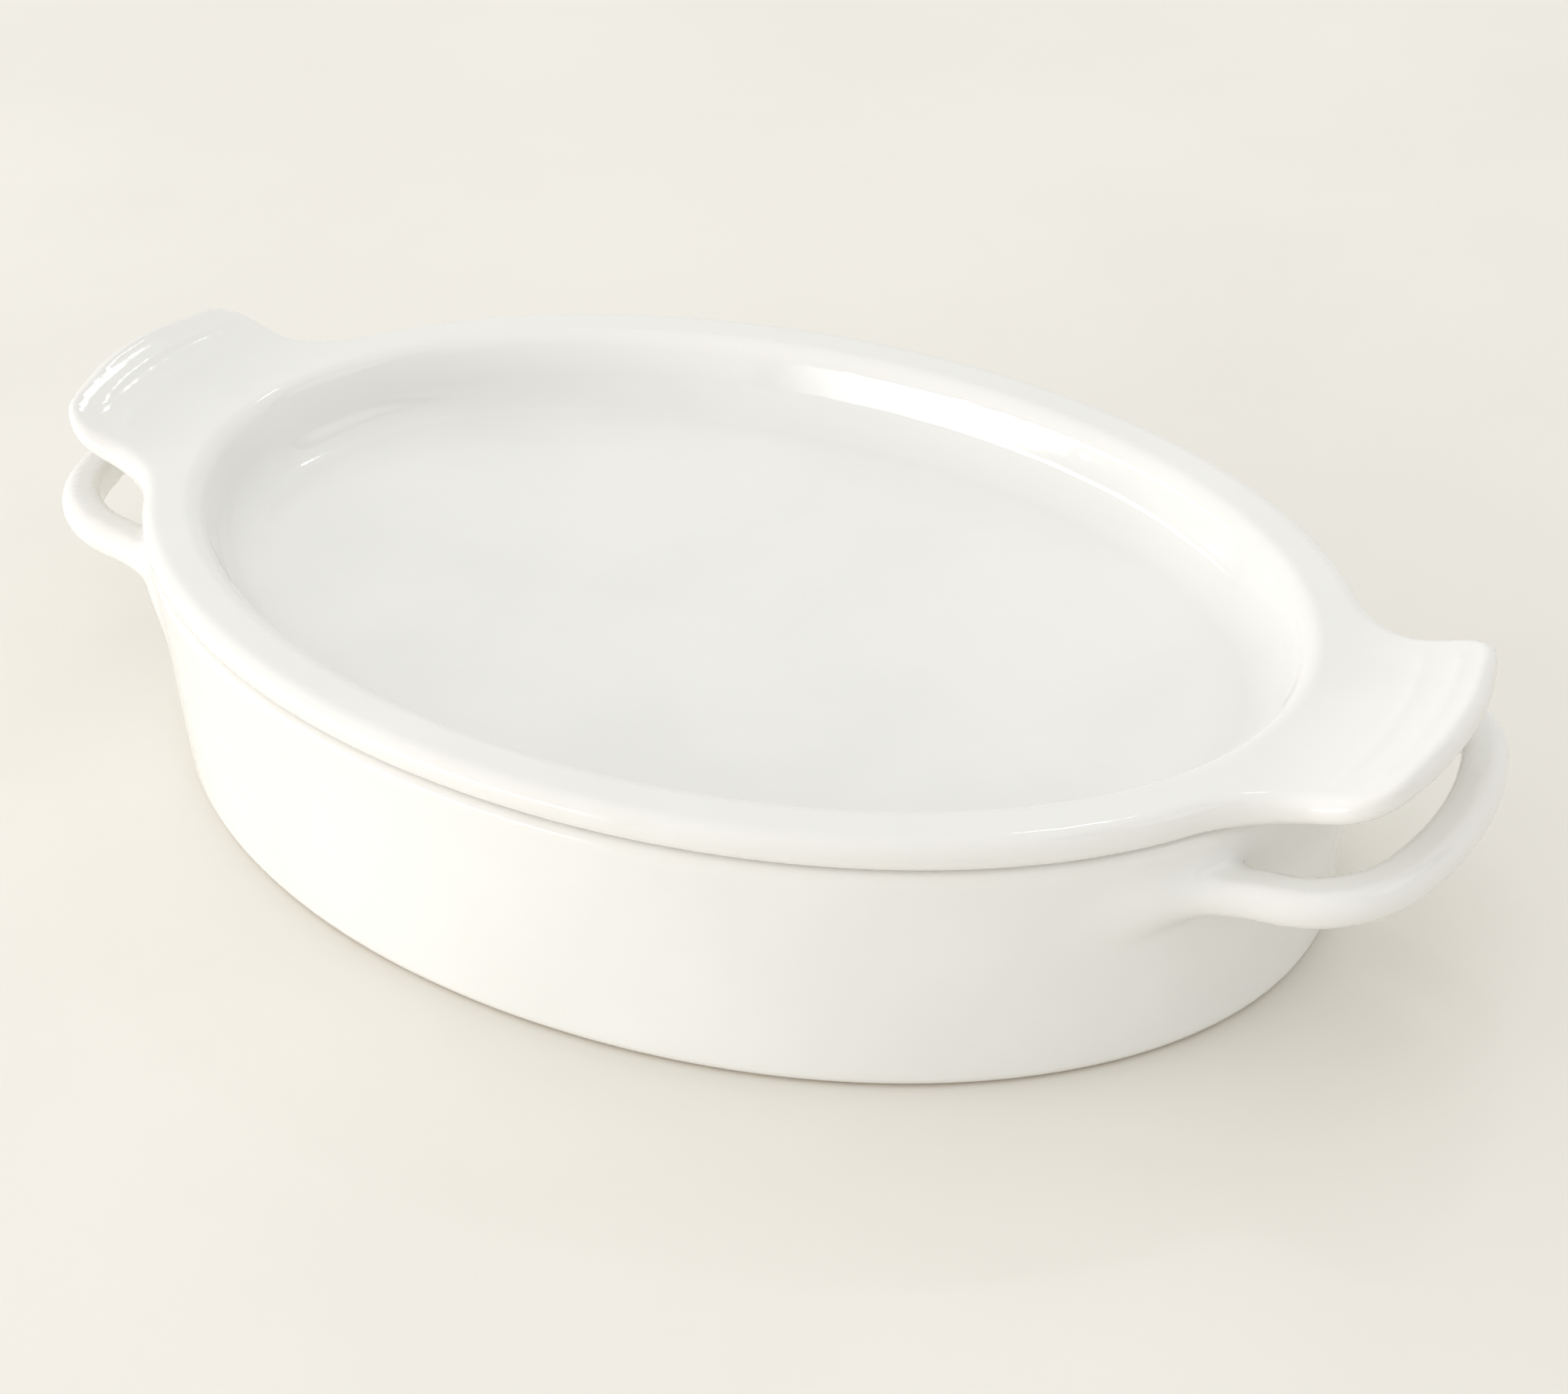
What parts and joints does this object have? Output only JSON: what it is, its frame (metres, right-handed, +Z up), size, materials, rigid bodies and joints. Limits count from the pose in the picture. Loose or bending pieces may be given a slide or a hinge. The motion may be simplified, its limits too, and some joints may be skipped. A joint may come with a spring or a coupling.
{
  "type": "covered casserole dish",
  "caption": "Oval glazed stoneware casserole dish with loop handles and a lift-off platter lid with a recessed well and curled tab handles.",
  "frame": {"origin": "centre of the oval foot, on the surface the dish stands on", "axes": "+X along the oval, through both handles; +Z up, out of the dish's mouth"},
  "size_m": [0.436, 0.245, 0.0892],
  "materials": {
    "white_glaze": "glossy glaze over stoneware"
  },
  "bodies": {
    "dish": {"dish_base": "white_glaze"},
    "lid": {"platter_lid": "white_glaze"}
  },
  "joints": [
    {"name": "lid_lift", "type": "slide", "parent": "dish", "child": "lid", "axis": [0, 0, 1], "range_m": [0, 0.12]}
  ]
}
